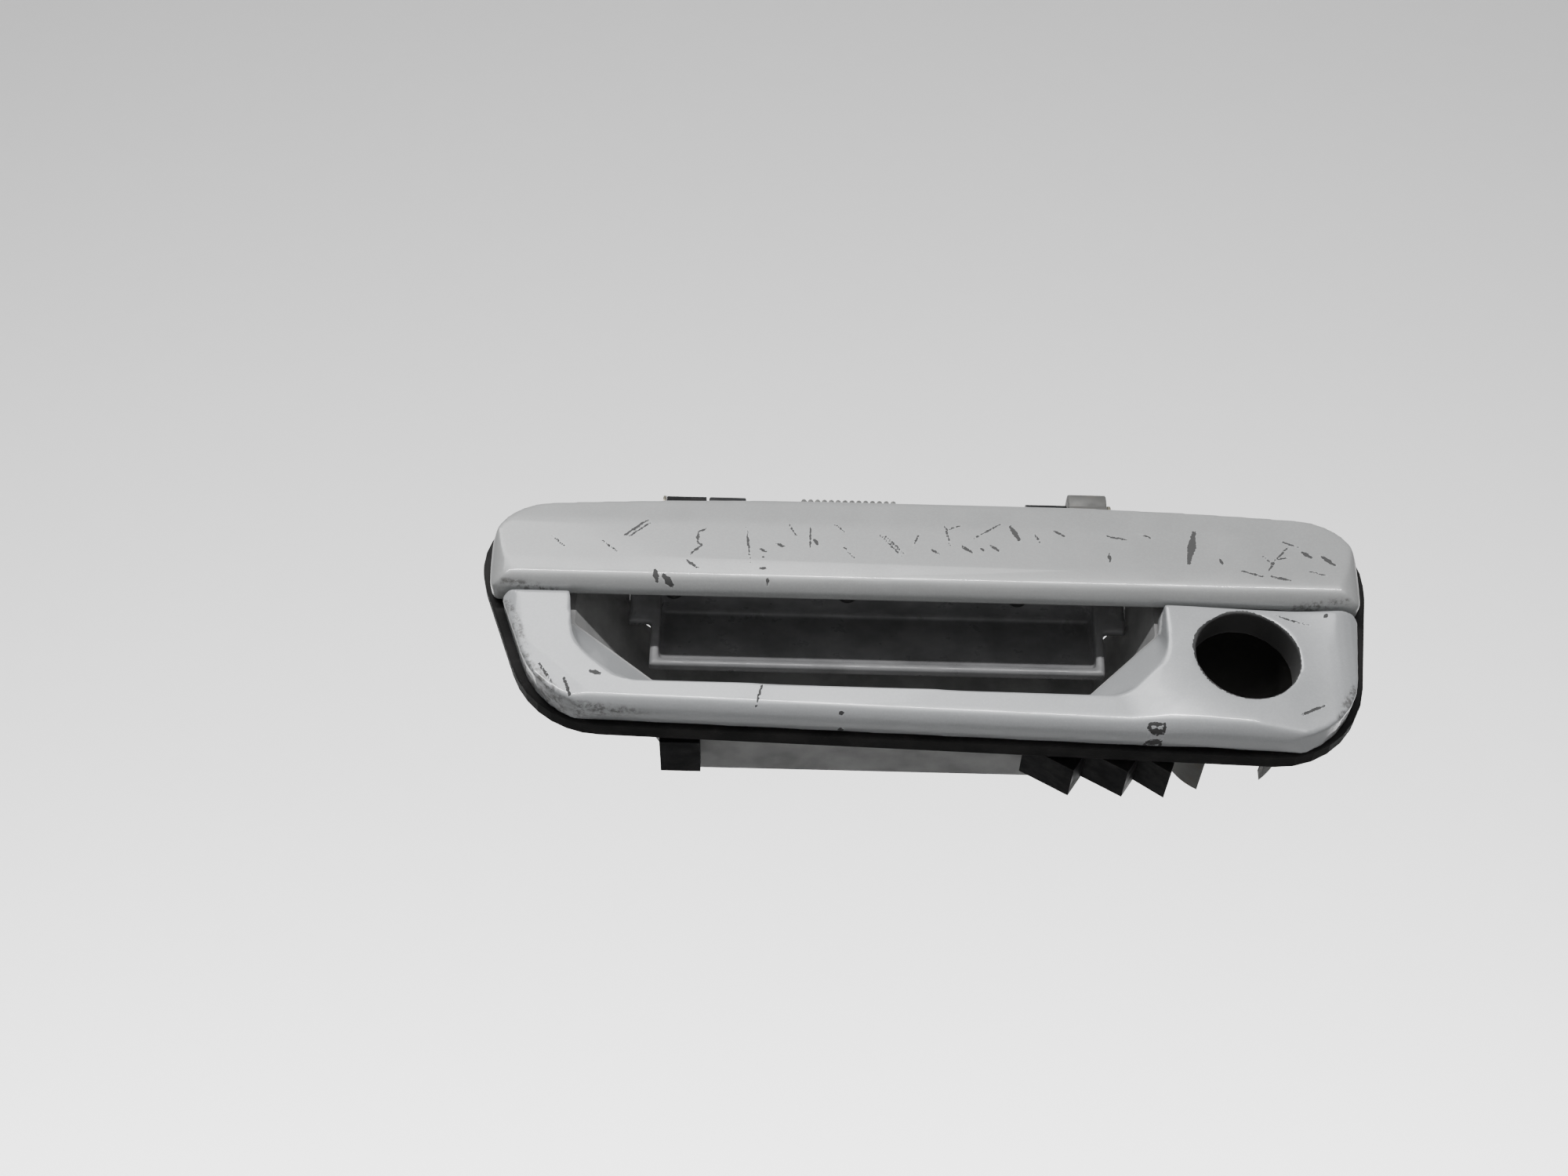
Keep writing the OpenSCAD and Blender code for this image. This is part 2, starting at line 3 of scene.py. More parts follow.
import bpy
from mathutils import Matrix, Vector


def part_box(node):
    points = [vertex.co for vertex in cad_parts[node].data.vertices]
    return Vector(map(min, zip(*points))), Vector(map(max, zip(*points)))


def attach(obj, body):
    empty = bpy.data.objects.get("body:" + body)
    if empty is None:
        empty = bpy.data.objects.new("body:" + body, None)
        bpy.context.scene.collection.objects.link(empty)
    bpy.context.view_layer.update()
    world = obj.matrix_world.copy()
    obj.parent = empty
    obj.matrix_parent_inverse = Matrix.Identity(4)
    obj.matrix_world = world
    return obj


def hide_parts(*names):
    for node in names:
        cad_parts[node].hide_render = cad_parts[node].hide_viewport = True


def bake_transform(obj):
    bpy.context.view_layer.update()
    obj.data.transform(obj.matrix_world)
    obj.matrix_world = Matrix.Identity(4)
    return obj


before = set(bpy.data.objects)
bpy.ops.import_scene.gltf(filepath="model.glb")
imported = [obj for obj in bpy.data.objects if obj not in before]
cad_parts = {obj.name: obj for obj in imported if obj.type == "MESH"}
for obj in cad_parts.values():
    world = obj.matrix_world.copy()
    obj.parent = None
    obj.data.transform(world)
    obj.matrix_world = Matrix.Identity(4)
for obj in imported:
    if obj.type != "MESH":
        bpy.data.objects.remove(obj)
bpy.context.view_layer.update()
MM = 0.001

# ---------------------------------------------------------------- studio
# A pale floor and wall, a large soft light above, a thin strip in front, and a lamp that lights the wall.
# The camera looks up at the handle from below, as one does when bending to the lock.


def only(obj):
    bpy.ops.object.select_all(action="DESELECT")
    bpy.context.view_layer.objects.active = obj
    obj.select_set(True)


def material(name, metallic=0.0, roughness=0.5, coat=0.0, specular=0.5):
    """A new node material and its shader, with the shader's constants set."""
    made = bpy.data.materials.new(name)
    made.use_nodes = True
    shader = made.node_tree.nodes["Principled BSDF"]
    shader.inputs["Metallic"].default_value = metallic
    shader.inputs["Roughness"].default_value = roughness
    shader.inputs["Coat Weight"].default_value = coat
    shader.inputs["Specular IOR Level"].default_value = specular
    return made, shader


def add(made, kind, settings=None, **inputs):
    """A node, with its settings made and its inputs given as values or as other nodes' outputs."""
    new = made.node_tree.nodes.new(kind)
    for key, value in (settings or {}).items():
        setattr(new, key, value)
    for key, value in inputs.items():
        socket = new.inputs[int(key[1:])] if key[0] == "i" and key[1:].isdigit() else new.inputs[key]
        if isinstance(value, bpy.types.NodeSocket):
            made.node_tree.links.new(value, socket)
        else:
            socket.default_value = value
    return new


def noise(made, scale, detail=4.0, roughness=0.55, stretch=(1, 1, 1)):
    """Noise on the piece's own coordinates; scale is in patches per metre."""
    place = add(made, "ShaderNodeTexCoord").outputs["Object"]
    mapped = add(made, "ShaderNodeMapping", Vector=place, Scale=stretch).outputs[0]
    texture = add(made, "ShaderNodeTexNoise", Vector=mapped, Scale=scale, Detail=detail, Roughness=roughness)
    return texture.outputs[0]


def ramp(made, value, low, high, out_low=0.0, out_high=1.0):
    """value from low to high mapped smoothly to out_low to out_high."""
    return add(made, "ShaderNodeMapRange", {"interpolation_type": "SMOOTHSTEP"}, i0=value, i1=low, i2=high,
               i3=out_low, i4=out_high).outputs[0]


def math_node(made, operation, a, b=0.0):
    return add(made, "ShaderNodeMath", {"operation": operation}, i0=a, i1=b).outputs[0]


def mix(made, share, a, b):
    """Colour a where share is 0 and b where it is 1."""
    return add(made, "ShaderNodeMix", {"data_type": "RGBA"}, i0=share, i6=a, i7=b).outputs[2]


def bump(made, shader, height, distance, strength=1.0):
    """Sets the shader's normal from a height from 0 to 1 that stands distance metres high."""
    bumped = add(made, "ShaderNodeBump", Height=height, Distance=distance, Strength=strength).outputs[0]
    made.node_tree.links.new(bumped, shader.inputs["Normal"])


def link(made, output, socket):
    made.node_tree.links.new(output, socket)


def area_light(name, place, target, size, power):
    bpy.ops.object.light_add(type="AREA", location=place)
    lamp = bpy.context.object
    lamp.name = name
    lamp.data.shape = "RECTANGLE"
    lamp.data.size, lamp.data.size_y = size
    lamp.data.energy = power
    lamp.rotation_euler = (Vector(target) - Vector(place)).to_track_quat("-Z", "Y").to_euler()


def plane(name, place, turn, size):
    bpy.ops.mesh.primitive_plane_add(size=size, location=place, rotation=turn)
    made = bpy.context.object
    made.name = name
    return made


pale, pale_shader = material("studio_paper", roughness=0.9, specular=0.1)
paper_tone = mix(pale, noise(pale, 30), (0.90, 0.90, 0.90, 1), (0.93, 0.93, 0.93, 1))
link(pale, paper_tone, pale_shader.inputs["Base Color"])
floor = plane("studio_floor", (0, 0, -2), (0, 0, 0), 6)
wall = plane("studio_wall", (0, 1.6, 2.7), (math.radians(90), 0, 0), 4.9)
for paper in (floor, wall):
    paper.data.materials.append(pale)

area_light("key_light", (-0.35, -0.7, 0.75), (0, 0, 0), (1.0, 0.5), 9)
area_light("strip_light", (-0.05, -0.95, 0.34), (0, 0, 0), (1.0, 0.03), 10)
area_light("wall_light", (0, 0.9, -0.4), (0, 1.6, 0.5), (3.0, 0.4), 125)

world = bpy.data.worlds.new("studio_air")
world.use_nodes = True
world.node_tree.nodes["Background"].inputs["Color"].default_value = (1, 1, 1, 1)
world.node_tree.nodes["Background"].inputs["Strength"].default_value = 0.33
bpy.context.scene.world = world

LOOK_UP = math.radians(32)
ROLL = math.radians(1.4)
CAMERA_PLACE = Vector((-36.84, -559.75, -335.62)) * MM
bpy.ops.object.camera_add(location=CAMERA_PLACE)
camera = bpy.context.object
camera.name = "photo_camera"
ahead = Vector((0, math.cos(LOOK_UP), math.sin(LOOK_UP)))
flat_right = Vector((1, 0, 0))
flat_up = flat_right.cross(ahead)
right = flat_right * math.cos(ROLL) + flat_up * math.sin(ROLL)
up = flat_up * math.cos(ROLL) - flat_right * math.sin(ROLL)
turn = camera.matrix_world.to_3x3()
for row in range(3):
    turn[row] = (right[row], up[row], -ahead[row])
camera.rotation_euler = turn.to_euler()
camera.data.sensor_width = 36
camera.data.lens = 56.9
camera.data.clip_start = 0.02
bpy.context.scene.camera = camera

# ---------------------------------------------------------------- paddle
# The pull-up flap: a moulded shell in silver paint, with a rolled lip along its lower edge.
# Years of keys and rings have left chips down to grey plastic, fine scratches and cracks.
WELD_REACH = 0.004 * MM                     # corners closer than this are one corner
WEAR_REACH = 1.2                            # mm from a stroke's edge at which its wear has faded to 0


def soft_copy(node, name, voxel, passes):
    """A copy of a CAD node as one closed skin with softened edges, in the node's place."""
    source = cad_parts[node]
    new = source.copy()
    new.data = source.data.copy()
    new.parent = None
    new.name = new.data.name = name
    for key in list(new.keys()):
        del new[key]
    bpy.context.scene.collection.objects.link(new)
    only(new)
    bpy.ops.object.mode_set(mode="EDIT")
    bpy.ops.mesh.select_all(action="SELECT")
    bpy.ops.mesh.remove_doubles(threshold=WELD_REACH)
    bpy.ops.mesh.normals_make_consistent(inside=False)
    bpy.ops.object.mode_set(mode="OBJECT")
    remesh = new.modifiers.new("skin", "REMESH")
    remesh.mode = "VOXEL"
    remesh.voxel_size = voxel
    bpy.ops.object.modifier_apply(modifier="skin")
    relax = new.modifiers.new("relax", "SMOOTH")
    relax.factor = 0.5
    relax.iterations = passes
    bpy.ops.object.modifier_apply(modifier="relax")
    new.data.materials.clear()
    bpy.ops.object.shade_smooth()
    return new


def finish_piece(obj, made, body, node):
    """Gives a finished piece its material and its body, and hides the CAD node that it stands for."""
    obj.data.materials.clear()
    obj.data.materials.append(made)
    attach(obj, body)
    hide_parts(node)


def edge_distance(x, z, stroke):
    """Distance in mm from a point to the edge of a tapered stroke, below 0 inside it."""
    x0, z0, x1, z1, half = stroke
    run = (x1 - x0) ** 2 + (z1 - z0) ** 2
    along = ((x - x0) * (x1 - x0) + (z - z0) * (z1 - z0)) / run
    t = min(1, max(0, along))
    taper = 1 - 0.45 * abs(2 * t - 1)
    return math.hypot(x - x0 - t * (x1 - x0), z - z0 - t * (z1 - z0)) - half * taper


def mark_wear(obj, name, strokes, front):
    """Stores wear on the outer face, out to a plane: 1 on a stroke's edge, more inside it, 0 away from it."""
    found = obj.data.attributes.new(name, "FLOAT", "POINT")
    for vertex in obj.data.vertices:
        x, y, z = vertex.co / MM
        if y > front or vertex.normal.y > 0.3:
            continue
        depth = 0
        for stroke in strokes:
            if min(stroke[0], stroke[2]) - 4 < x < max(stroke[0], stroke[2]) + 4:
                depth = max(depth, 1 - edge_distance(x, z, stroke) / WEAR_REACH)
        found.data[vertex.index].value = depth


def silver_paint(name, shade, chip):
    """Silver paint under clear lacquer, with flake, orange peel and haze, and wear from two attributes."""
    made, shader = material(name, metallic=0.18, roughness=0.34, coat=0.5)
    shader.inputs["Coat Roughness"].default_value = 0.06
    flake = add(made, "ShaderNodeTexVoronoi", Vector=add(made, "ShaderNodeTexCoord").outputs["Object"],
                Scale=2600.0).outputs["Color"]
    sparkle = add(made, "ShaderNodeSeparateColor", i0=flake).outputs[0]
    paint = mix(made, ramp(made, sparkle, 0.2, 1.0), [c * 0.93 for c in shade] + [1], list(shade) + [1])
    cloud = ramp(made, noise(made, 28, 5, 0.6), 0.35, 0.75)
    dulled = mix(made, math_node(made, "MULTIPLY", cloud, 0.35), paint, [c * 0.86 for c in shade] + [1])
    # hair scratches run in all directions where fingers and polish have been
    hairs = []
    for stretch in ((1, 1, 14), (14, 1, 2), (6, 1, 9)):
        hairs.append(ramp(made, noise(made, 260, 2, 0.5, stretch), 0.70, 0.76))
    hair = math_node(made, "MAXIMUM", math_node(made, "MAXIMUM", hairs[0], hairs[1]), hairs[2])
    hair = math_node(made, "MULTIPLY", hair, ramp(made, noise(made, 45, 3), 0.45, 0.62))
    marked = mix(made, math_node(made, "MULTIPLY", hair, 0.28), dulled, (0.35, 0.35, 0.36, 1))
    # ragged edges on the chips come from noise added to the stored depth
    depth = add(made, "ShaderNodeAttribute", {"attribute_name": "wear"}).outputs["Fac"]
    ragged = math_node(made, "ADD", depth, ramp(made, noise(made, 1300, 3), 0.25, 0.75, -0.17, 0.17))
    bare = ramp(made, ragged, 0.96, 1.06)
    edge = ramp(made, ragged, 0.76, 0.92)
    halo = mix(made, math_node(made, "MULTIPLY", edge, 0.35), marked, [min(1, c * 1.35) for c in shade] + [1])
    chipped = mix(made, bare, halo, list(chip) + [1])
    dirt = add(made, "ShaderNodeAttribute", {"attribute_name": "grime"}).outputs["Fac"]
    specks = ramp(made, noise(made, 650, 8, 0.7), 0.42, 0.62)
    dirty = math_node(made, "MULTIPLY", ramp(made, dirt, 0.1, 1.2), specks)
    dirty = math_node(made, "MULTIPLY", dirty, 0.75)
    link(made, mix(made, dirty, chipped, (0.05, 0.045, 0.04, 1)), shader.inputs["Base Color"])
    rough = math_node(made, "ADD", ramp(made, noise(made, 60, 4), 0.3, 0.7, 0.28, 0.42),
                      math_node(made, "MULTIPLY", bare, 0.35))
    link(made, rough, shader.inputs["Roughness"])
    coat = math_node(made, "MULTIPLY", math_node(made, "SUBTRACT", 1.0, bare), 0.5)
    link(made, coat, shader.inputs["Coat Weight"])
    peel = math_node(made, "MULTIPLY", noise(made, 520, 2), 0.10)
    height = math_node(made, "SUBTRACT", peel, math_node(made, "MULTIPLY", bare, 1.0))
    height = math_node(made, "SUBTRACT", height, math_node(made, "MULTIPLY", hair, 0.05))
    bump(made, shader, height, 0.12 * MM, 0.8)
    return made


# strokes in mm: x, z of one end, x, z of the other, half width
PADDLE_STROKES = [
    (-79.1, 21.0, -73.2, 27.0, 0.47), (-77.9, 20.6, -72.6, 25.8, 0.3),
    (-57.7, 24.0, -59.6, 23.0, 0.41), (-59.6, 23.0, -60.0, 19.1, 0.41), (-60.0, 19.1, -58.6, 18.2, 0.41),
    (-58.6, 18.2, -61.6, 14.7, 0.41), (-62.5, 12.5, -59.2, 9.9, 0.47),
    (-70.5, 8.9, -69.9, 6.2, 0.81), (-68.2, 7.5, -66.0, 5.4, 0.94),
    (-47.1, 25.1, -45.8, 12.3, 0.3), (-39.0, 19.2, -37.0, 18.3, 0.54), (-43.2, 17.2, -41.9, 16.3, 0.54),
    (-43.2, 10.4, -41.7, 10.4, 0.54), (-41.1, 7.6, -41.1, 5.9, 0.47), (-42.6, 14.3, -42.4, 14.2, 0.47),
    (-30.2, 25.6, -30.2, 18.3, 0.3), (-29.0, 21.0, -28.2, 19.3, 0.61), (-22.2, 19.7, -18.5, 14.5, 0.3),
    (-11.9, 23.4, -6.2, 15.8, 0.3), (-10.6, 23.2, -5.4, 16.6, 0.3),
    (5.3, 27.3, 6.6, 20.1, 0.3), (12.7, 22.7, 20.5, 28.7, 0.3),
    (9.7, 19.9, 12.1, 17.8, 0.61), (17.3, 20.4, 19.3, 18.5, 0.54), (22.8, 27.6, 24.9, 22.5, 0.81),
    (33.9, 26.7, 37.0, 24.3, 0.41), (48.1, 24.9, 53.2, 23.6, 0.41), (48.3, 18.6, 48.3, 15.7, 0.47),
    (71.4, 27.2, 68.9, 15.7, 0.95), (70.9, 24.6, 69.6, 18.6, 1.25),
    (89.6, 13.7, 92.0, 17.9, 0.3), (92.0, 17.9, 96.0, 22.7, 0.3), (92.0, 17.9, 95.4, 18.6, 0.3),
    (91.0, 16.0, 88.6, 19.0, 0.3), (77.1, 17.5, 78.1, 15.4, 0.41),
    (82.6, 13.5, 88.0, 11.6, 0.41), (90.0, 11.9, 94.9, 10.5, 0.47),
    (-85.0, 19.0, -80.5, 15.0, 0.3), (-36.0, 26.5, -33.8, 22.0, 0.3), (-24.0, 27.0, -21.0, 24.0, 0.3),
    (-3.0, 20.0, -1.5, 24.0, 0.3), (1.5, 18.5, 3.5, 17.0, 0.4), (5.5, 25.5, 9.5, 27.5, 0.3),
    (14.5, 19.5, 15.8, 18.2, 0.4), (29.0, 25.0, 30.5, 21.5, 0.3), (57.0, 26.0, 60.0, 24.5, 0.3),
    (94.0, 24.5, 98.5, 22.5, 0.3), (100.0, 14.0, 104.5, 12.5, 0.3), (-98.0, 20.0, -94.5, 16.5, 0.3),
    (99.1, 20.8, 101.4, 18.9, 0.68), (104.0, 19.6, 107.3, 16.2, 0.68),
]
PADDLE_GRIME = [(-110, 5.5, -96, 4, 0.3), (96, 4, 110, 5.5, 0.3)]
PADDLE_FRONT = -8.5                         # mm; only the skin outside this plane is worn
paddle = soft_copy("paddle", "painted_paddle", 0.5 * MM, 10)
mark_wear(paddle, "wear", PADDLE_STROKES, PADDLE_FRONT)
mark_wear(paddle, "grime", PADDLE_GRIME, PADDLE_FRONT)
paddle_paint = silver_paint("paddle_silver", (0.345, 0.35, 0.35), (0.05, 0.05, 0.05))
finish_piece(paddle, paddle_paint, "paddle_assembly", "paddle")

# ---------------------------------------------------------------- bezel
# The fixed painted frame round the finger opening, with the flare on each side and the lock's hole.
# A shell like the paddle's, screwed to the carrier from behind through the rubber.
LOCK = Vector((82, -12.5)) * MM
LOCK_RADIUS = 13.4 * MM
BEZEL_STROKES = [
    (55.6, -33.6, 59.2, -33.8, 0.54), (55.6, -35.0, 59.2, -35.2, 0.54), (55.4, -33.8, 55.5, -35.0, 0.54),
    (59.3, -34.0, 59.3, -35.0, 0.54), (-41.7, -25.0, -43.2, -31.5, 0.3), (-69.5, -33.4, -64.3, -33.8, 0.41),
    (-85.5, -22.2, -82.8, -22.9, 0.68), (-22.0, -32.3, -21.2, -32.4, 0.68),
    (-98.5, -20.0, -95.0, -25.5, 0.41), (-92.0, -24.0, -90.0, -29.5, 0.47), (103.0, 0.5, 104.0, 1.5, 0.54),
    (90.0, 1.0, 99.0, -2.0, 0.3), (94.0, -30.0, 100.5, -26.5, 0.41),
]
BEZEL_GRIME = [(-108.5, -1, -101.5, -20, 1.6), (-101.5, -20, -92, -31, 1.5), (-92, -31, -60, -34.5, 0.7),
               (104, -30, 109, -20, 0.8)]
bezel = soft_copy("bezel", "painted_bezel", 0.5 * MM, 8)

# the face round the lock leans back at its top and away at its right
FACE_LEAN = (("X", 4), ("Z", -3.5))         # degrees
only(bezel)
bpy.ops.object.mode_set(mode="EDIT")
bpy.ops.mesh.select_all(action="DESELECT")
bpy.ops.object.mode_set(mode="OBJECT")
for vertex in bezel.data.vertices:
    off = Vector((vertex.co.x, vertex.co.z)) - LOCK
    vertex.select = off.length < LOCK_RADIUS + 1.2 * MM and vertex.co.y < -9 * MM
bpy.ops.object.mode_set(mode="EDIT")
lock_face = (LOCK.x, -14.0 * MM, LOCK.y)
for axis, angle in FACE_LEAN:
    bpy.ops.transform.rotate(
        value=math.radians(angle),
        orient_axis=axis,
        orient_type="GLOBAL",
        center_override=lock_face,
        use_proportional_edit=True,
        proportional_edit_falloff="SMOOTH",
        proportional_size=22 * MM,
    )
bpy.ops.object.mode_set(mode="OBJECT")

mark_wear(bezel, "wear", BEZEL_STROKES, -6.5)
mark_wear(bezel, "grime", BEZEL_GRIME, -6.1)

# the hole is bare inside, and its burr is broadest at the upper left
ring = bezel.data.attributes["wear"].data
for vertex in bezel.data.vertices:
    off = Vector((vertex.co.x, vertex.co.z)) - LOCK
    if off.length < LOCK_RADIUS + 0.4 * MM:
        ring[vertex.index].value = 1.3
    elif vertex.co.y < -8 * MM and off.length < LOCK_RADIUS + 3 * MM:
        heading = math.atan2(off.y, off.x)
        burr = 0.35 + 0.45 * math.cos(heading - 2.2) + 0.25 * math.sin(5 * heading)
        burr_edge = (off.length - LOCK_RADIUS) / MM - max(0.1, burr)
        ring[vertex.index].value = max(ring[vertex.index].value, 1 - burr_edge / WEAR_REACH)
bezel_paint = silver_paint("bezel_silver", (0.385, 0.395, 0.405), (0.045, 0.045, 0.045))
finish_piece(bezel, bezel_paint, "housing", "bezel")

# ---------------------------------------------------------------- grip scoop
# The tray behind the paddle's lip that the fingertips pull on: a dark grey moulding, rubbed smooth by use.
# It is screwed to the inside of the paddle.


def plastic(name, shade, roughness=0.5, grain=900, relief=0.05, dust=0.25, wear=0.0, specular=0.4):
    """Moulded plastic: fine grain, flow marks, and pale dust that lies in broad patches."""
    made, shader = material(name, roughness=roughness, specular=specular)
    tone = mix(made, ramp(made, noise(made, 70, 5), 0.3, 0.7), [c * 0.8 for c in shade] + [1],
               [c * 1.2 for c in shade] + [1])
    dusty = math_node(made, "MULTIPLY", ramp(made, noise(made, 130, 7, 0.65), 0.42, 0.75), dust)
    shown = mix(made, dusty, tone, (0.30, 0.29, 0.27, 1))
    if wear:
        rubbed = ramp(made, noise(made, 240, 3, 0.5, (6, 1, 1)), 0.60, 0.72)
        shown = mix(made, math_node(made, "MULTIPLY", rubbed, wear), shown, (0.2, 0.2, 0.2, 1))
    link(made, shown, shader.inputs["Base Color"])
    link(made, ramp(made, noise(made, 180, 4), 0.3, 0.7, roughness - 0.1, roughness + 0.12),
         shader.inputs["Roughness"])
    bump(made, shader, noise(made, grain, 3), relief * MM, 0.6)
    return made


scoop = soft_copy("grip_scoop", "grip_tray", 0.6 * MM, 5)
scoop_plastic = plastic("scoop_grey", (0.19, 0.19, 0.195), 0.36, 700, 0.04, 0.08, 0.06, specular=0.5)
finish_piece(scoop, scoop_plastic, "paddle_assembly", "grip_scoop")

# ---------------------------------------------------------------- finger pocket
# The grey liner that closes the hollow behind the finger opening, held by two screws.


def dress(node, made, bevel):
    """Shows a CAD node as it is, with welded corners, small bevels on its edges and a material."""
    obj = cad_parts[node]
    obj.data.materials.clear()
    obj.data.materials.append(made)
    weld = obj.modifiers.new("weld", "WELD")
    weld.merge_threshold = WELD_REACH
    soft = obj.modifiers.new("soft_edges", "BEVEL")
    soft.width = bevel * MM
    soft.segments = 2
    soft.limit_method = "ANGLE"
    soft.angle_limit = math.radians(40)
    soft.harden_normals = False


liner_plastic = plastic("liner_grey", (0.26, 0.26, 0.26), 0.6, 500, 0.06, 0.08, specular=0.12)
dress("pocket_liner", liner_plastic, 0.4)

# ---------------------------------------------------------------- carrier
# The black nylon frame that everything bolts to, with its hook and teeth behind the bar.
black_nylon = plastic("nylon_black", (0.010, 0.010, 0.011), 0.6, 800, 0.05, 0.06, specular=0.12)
dress("carrier", black_nylon, 0.3)

# ---------------------------------------------------------------- gasket
# The soft rubber frame between the handle and the door skin; its edge shows all round below.
rubber, rubber_shader = material("gasket_black", roughness=0.7, specular=0.15)
rubber_tone = mix(rubber, ramp(rubber, noise(rubber, 90, 6), 0.35, 0.7), (0.009, 0.009, 0.009, 1),
                  (0.020, 0.019, 0.019, 1))
rubber_dust = math_node(rubber, "MULTIPLY", ramp(rubber, noise(rubber, 300, 8, 0.7), 0.55, 0.8), 0.12)
rubber_shown = mix(rubber, rubber_dust, rubber_tone, (0.16, 0.15, 0.14, 1))
link(rubber, rubber_shown, rubber_shader.inputs["Base Color"])
bump(rubber, rubber_shader, noise(rubber, 1400, 4), 0.08 * MM, 0.7)
dress("gasket", rubber, 0.6)

# ---------------------------------------------------------------- lock sleeve
# The die-cast guide that the lock barrel slides in, screwed to the carrier; its two prongs stand behind
# the hole.


def metal(name, shade, roughness=0.35, grain=600, relief=0.03, stain=0.3, stain_shade=(0.12, 0.10, 0.08),
          metallic=0.9):
    """Bare or plated metal: a fine grain, duller patches and a few stains."""
    made, shader = material(name, metallic=metallic, roughness=roughness)
    tone = mix(made, ramp(made, noise(made, 110, 5), 0.3, 0.7), [c * 0.82 for c in shade] + [1],
               list(shade) + [1])
    stained = math_node(made, "MULTIPLY", ramp(made, noise(made, 210, 7, 0.65), 0.52, 0.74), stain)
    link(made, mix(made, stained, tone, list(stain_shade) + [1]), shader.inputs["Base Color"])
    link(made, ramp(made, noise(made, 160, 4), 0.3, 0.7, roughness - 0.08, roughness + 0.15),
         shader.inputs["Roughness"])
    link(made, ramp(made, stained, 0.0, 0.3, metallic, metallic * 0.6), shader.inputs["Metallic"])
    bump(made, shader, noise(made, grain, 3), relief * MM, 0.6)
    return made


zinc = metal("zinc_cast", (0.12, 0.12, 0.115), 0.55, 420, 0.10, 0.5, metallic=0.25)
sleeve_zinc = metal("zinc_sleeve", (0.13, 0.13, 0.125), 0.7, 420, 0.10, 0.6, metallic=0.1)


def paint_bore_shade(made):
    """Painted shade: the sleeve is painted near-black and dulled inside the lock's bore, where shade falls.
    """
    shader = made.node_tree.nodes["Principled BSDF"]
    place = add(made, "ShaderNodeTexCoord").outputs["Object"]
    around = add(made, "ShaderNodeVectorMath", {"operation": "MULTIPLY"}, i0=place, i1=(1, 0, 1)).outputs[0]
    off = add(made, "ShaderNodeVectorMath", {"operation": "DISTANCE"}, i0=around,
              i1=(LOCK.x, 0, LOCK.y)).outputs["Value"]
    inside = ramp(made, off, LOCK_RADIUS + 0.5 * MM, LOCK_RADIUS + 1.2 * MM, 1.0, 0.0)
    before = shader.inputs["Base Color"].links[0].from_socket
    link(made, mix(made, inside, before, (0.02, 0.019, 0.018, 1)), shader.inputs["Base Color"])
    shine = shader.inputs["Metallic"].links[0].from_socket
    link(made, math_node(made, "MULTIPLY", shine, math_node(made, "SUBTRACT", 1.0, inside)),
         shader.inputs["Metallic"])
    shader.inputs["Specular IOR Level"].default_value = 0.08
    link(made, ramp(made, inside, 0.0, 1.0, 0.7, 0.9), shader.inputs["Roughness"])


# the inside of the lock's bore gets painted shade
paint_bore_shade(sleeve_zinc)
dress("lock_sleeve", sleeve_zinc, 0.4)

# ---------------------------------------------------------------- hinge arms
# The left arm is a blackened steel plate; the right one is the zinc bracket with the rod's lever.
black_steel = metal("steel_blackened", (0.06, 0.06, 0.062), 0.42, 700, 0.03, 0.2, (0.02, 0.02, 0.02))
dress("hinge_arm_left", black_steel, 0.5)
dress("hinge_arm_right", zinc, 0.5)

# ---------------------------------------------------------------- hinge pin, clips and bushes
# A ground steel pin held by two spring clips, in white nylon bushes.
bright = metal("steel_ground", (0.62, 0.62, 0.61), 0.22, 1200, 0.01, 0.15)
plated = metal("steel_plated", (0.50, 0.47, 0.38), 0.32, 900, 0.02, 0.3)
white_nylon = plastic("nylon_white", (0.62, 0.61, 0.56), 0.45, 800, 0.03, 0.1)
dress("hinge_pin", bright, 0.3)
dress("pin_clips", plated, 0.1)
dress("hinge_bushes", white_nylon, 0.1)

# ---------------------------------------------------------------- return spring
# A torsion spring wound from steel wire round the pin, with one leg on the frame and one on the tray.
HINGE = Vector((0, 7.0, 42.2)) * MM
WIRE = 0.8 * MM                             # the wire's radius
COIL = 3.7 * MM                             # the winding's radius, to the wire's middle
SPRING_TURNS = 14
FRAME_LEG_END = 35.7 * MM


def apply_place(obj):
    only(obj)
    bpy.ops.object.transform_apply(location=True, rotation=True, scale=True)


def outward(obj):
    only(obj)
    bpy.ops.object.mode_set(mode="EDIT")
    bpy.ops.mesh.select_all(action="SELECT")
    bpy.ops.mesh.remove_doubles(threshold=0.01 * MM)
    bpy.ops.mesh.normals_make_consistent(inside=False)
    bpy.ops.object.mode_set(mode="OBJECT")


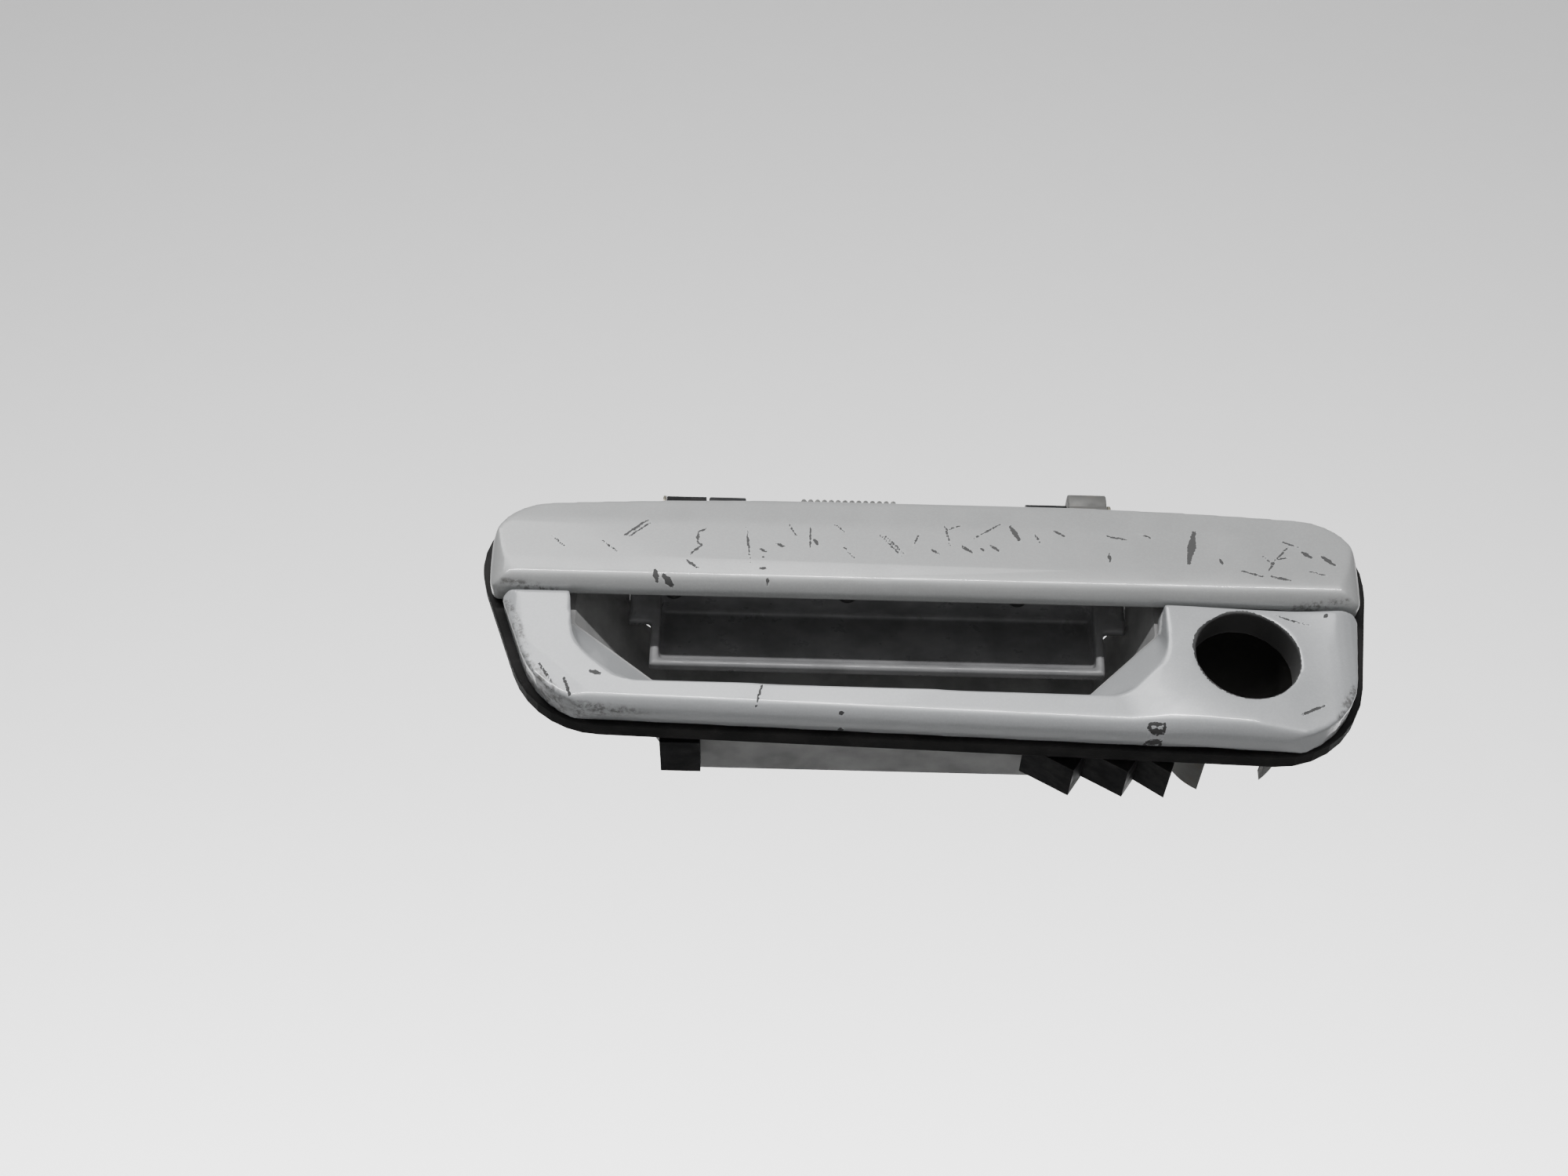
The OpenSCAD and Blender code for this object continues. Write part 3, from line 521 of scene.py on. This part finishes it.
def wound(name, profile_sides, profile_radius, coil_radius, centre, axis, turns, rise, steps):
    """A ring carried round an axis through centre while it moves along it: a coil or a thread."""
    bpy.ops.object.select_all(action="DESELECT")
    bpy.ops.mesh.primitive_circle_add(vertices=profile_sides, radius=profile_radius, location=centre)
    coil = bpy.context.object
    coil.name = coil.data.name = name
    bpy.ops.object.mode_set(mode="EDIT")
    bpy.ops.mesh.select_all(action="SELECT")
    shift = (0, -coil_radius, 0) if axis == "X" else (coil_radius, 0, 0)
    bpy.ops.transform.translate(value=shift)
    bpy.ops.object.mode_set(mode="OBJECT")
    winding = coil.modifiers.new("winding", "SCREW")
    winding.axis = axis
    winding.angle = math.radians(360)
    winding.screw_offset = rise
    winding.iterations = turns
    winding.steps = winding.render_steps = steps
    bpy.ops.object.modifier_apply(modifier="winding")
    bpy.ops.object.mode_set(mode="EDIT")
    bpy.ops.mesh.select_all(action="DESELECT")
    bpy.ops.mesh.select_mode(type="EDGE")
    bpy.ops.mesh.select_non_manifold(extend=False)
    bpy.ops.mesh.edge_face_add()
    bpy.ops.object.mode_set(mode="OBJECT")
    apply_place(coil)
    return coil


def rounded_rod(name, radius, start, end, bevel, sides):
    """A rod from start to end, both along one axis, with rounded ends."""
    run = Vector(end) - Vector(start)
    bpy.ops.object.select_all(action="DESELECT")
    bpy.ops.mesh.primitive_cylinder_add(
        vertices=sides,
        radius=radius,
        depth=run.length,
        location=(Vector(start) + Vector(end)) / 2,
        rotation=run.to_track_quat("Z", "Y").to_euler(),
    )
    rod = bpy.context.object
    rod.name = rod.data.name = name
    apply_place(rod)
    soft = rod.modifiers.new("ends", "BEVEL")
    soft.width = bevel
    soft.segments = 3
    soft.limit_method = "ANGLE"
    soft.angle_limit = math.radians(50)
    bpy.ops.object.modifier_apply(modifier="ends")
    return rod


def joined(name, parts):
    only(parts[0])
    for part in parts[1:]:
        part.select_set(True)
    bpy.ops.object.join()
    whole = bpy.context.object
    whole.name = whole.data.name = name
    outward(whole)
    bpy.ops.object.shade_smooth_by_angle(angle=math.radians(35))
    return whole


spring_low, spring_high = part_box("return_spring")
coil_x = spring_high.x - WIRE
coil_rise = (spring_low.x + 2 * WIRE - spring_high.x) / SPRING_TURNS
coil = wound("coil", 12, WIRE, COIL, (coil_x, HINGE.y, HINGE.z), "X", SPRING_TURNS, coil_rise, 20)
frame_leg = rounded_rod("frame_leg", WIRE, (coil_x, HINGE.y - COIL, FRAME_LEG_END),
                        (coil_x, HINGE.y - COIL, HINGE.z), 0.3 * MM, 12)
tray_leg_x = spring_low.x + WIRE
tray_leg = rounded_rod("tray_leg", WIRE, (tray_leg_x, HINGE.y + COIL, spring_low.z + 0.1 * MM),
                       (tray_leg_x, HINGE.y + COIL, HINGE.z), 0.3 * MM, 12)
spring = joined("torsion_spring", [coil, frame_leg, tray_leg])
spring.data.materials.clear()
spring.data.materials.append(metal("steel_spring", (0.42, 0.42, 0.41), 0.3, 1500, 0.01, 0.2))
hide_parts("return_spring")
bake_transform(spring)

# ---------------------------------------------------------------- screws, stops and studs
# Small blackened self-tapping screws with cross recesses, rubber stops and threaded studs.
screw_black = metal("screw_black", (0.10, 0.10, 0.10), 0.4, 900, 0.02, 0.2)
for name in ("bezel_screws", "liner_screws", "sleeve_screws", "scoop_screws", "arm_screws"):
    dress(name, screw_black, 0.12)
dress("bump_stops", rubber, 0.3)

STUD_HEAD = 4.0 * MM
STUD_NECK = 3.0 * MM
STUD_CORE = 2.62 * MM
NECK_END = 3.4 * MM
THREAD_START = 3.2 * MM
THREAD_TURNS = 23


def threaded_stud(x, low, high):
    """A plated stud: round head, plain neck, and a coarse thread to its rounded tip."""
    inside = -0.5 * MM                      # the neck and core start within the head
    head = rounded_rod("stud_head", STUD_HEAD, (x, low, 0), (x, 0, 0), 0.4 * MM, 48)
    core = rounded_rod("stud_core", STUD_CORE, (x, inside, 0), (x, high, 0), 0.5 * MM, 32)
    neck = rounded_rod("stud_neck", STUD_NECK, (x, inside, 0), (x, NECK_END, 0), 0.2 * MM, 32)
    thread = wound("thread", 4, 0.5 * MM, 2.5 * MM, (x, THREAD_START, 0), "Y", THREAD_TURNS, 1.0 * MM, 32)
    return joined("mounting_stud", [head, core, neck, thread])


stud_low, stud_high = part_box("mounting_studs")
stud_x = stud_high.x - STUD_HEAD
studs = [threaded_stud(x, stud_low.y, stud_high.y) for x in (-stud_x, stud_x)]
pair = joined("mounting_stud_pair", studs)
finish_piece(pair, plated, "housing", "mounting_studs")

# ---------------------------------------------------------------- latch rod's bush and clip
# White nylon bush in the lever's eye and the yellow clip that takes the rod.
dress("rod_bush", white_nylon, 0.2)
yellow_plastic = plastic("clip_yellow", (0.55, 0.42, 0.10), 0.42, 800, 0.03, 0.1)
dress("rod_clip", yellow_plastic, 0.3)
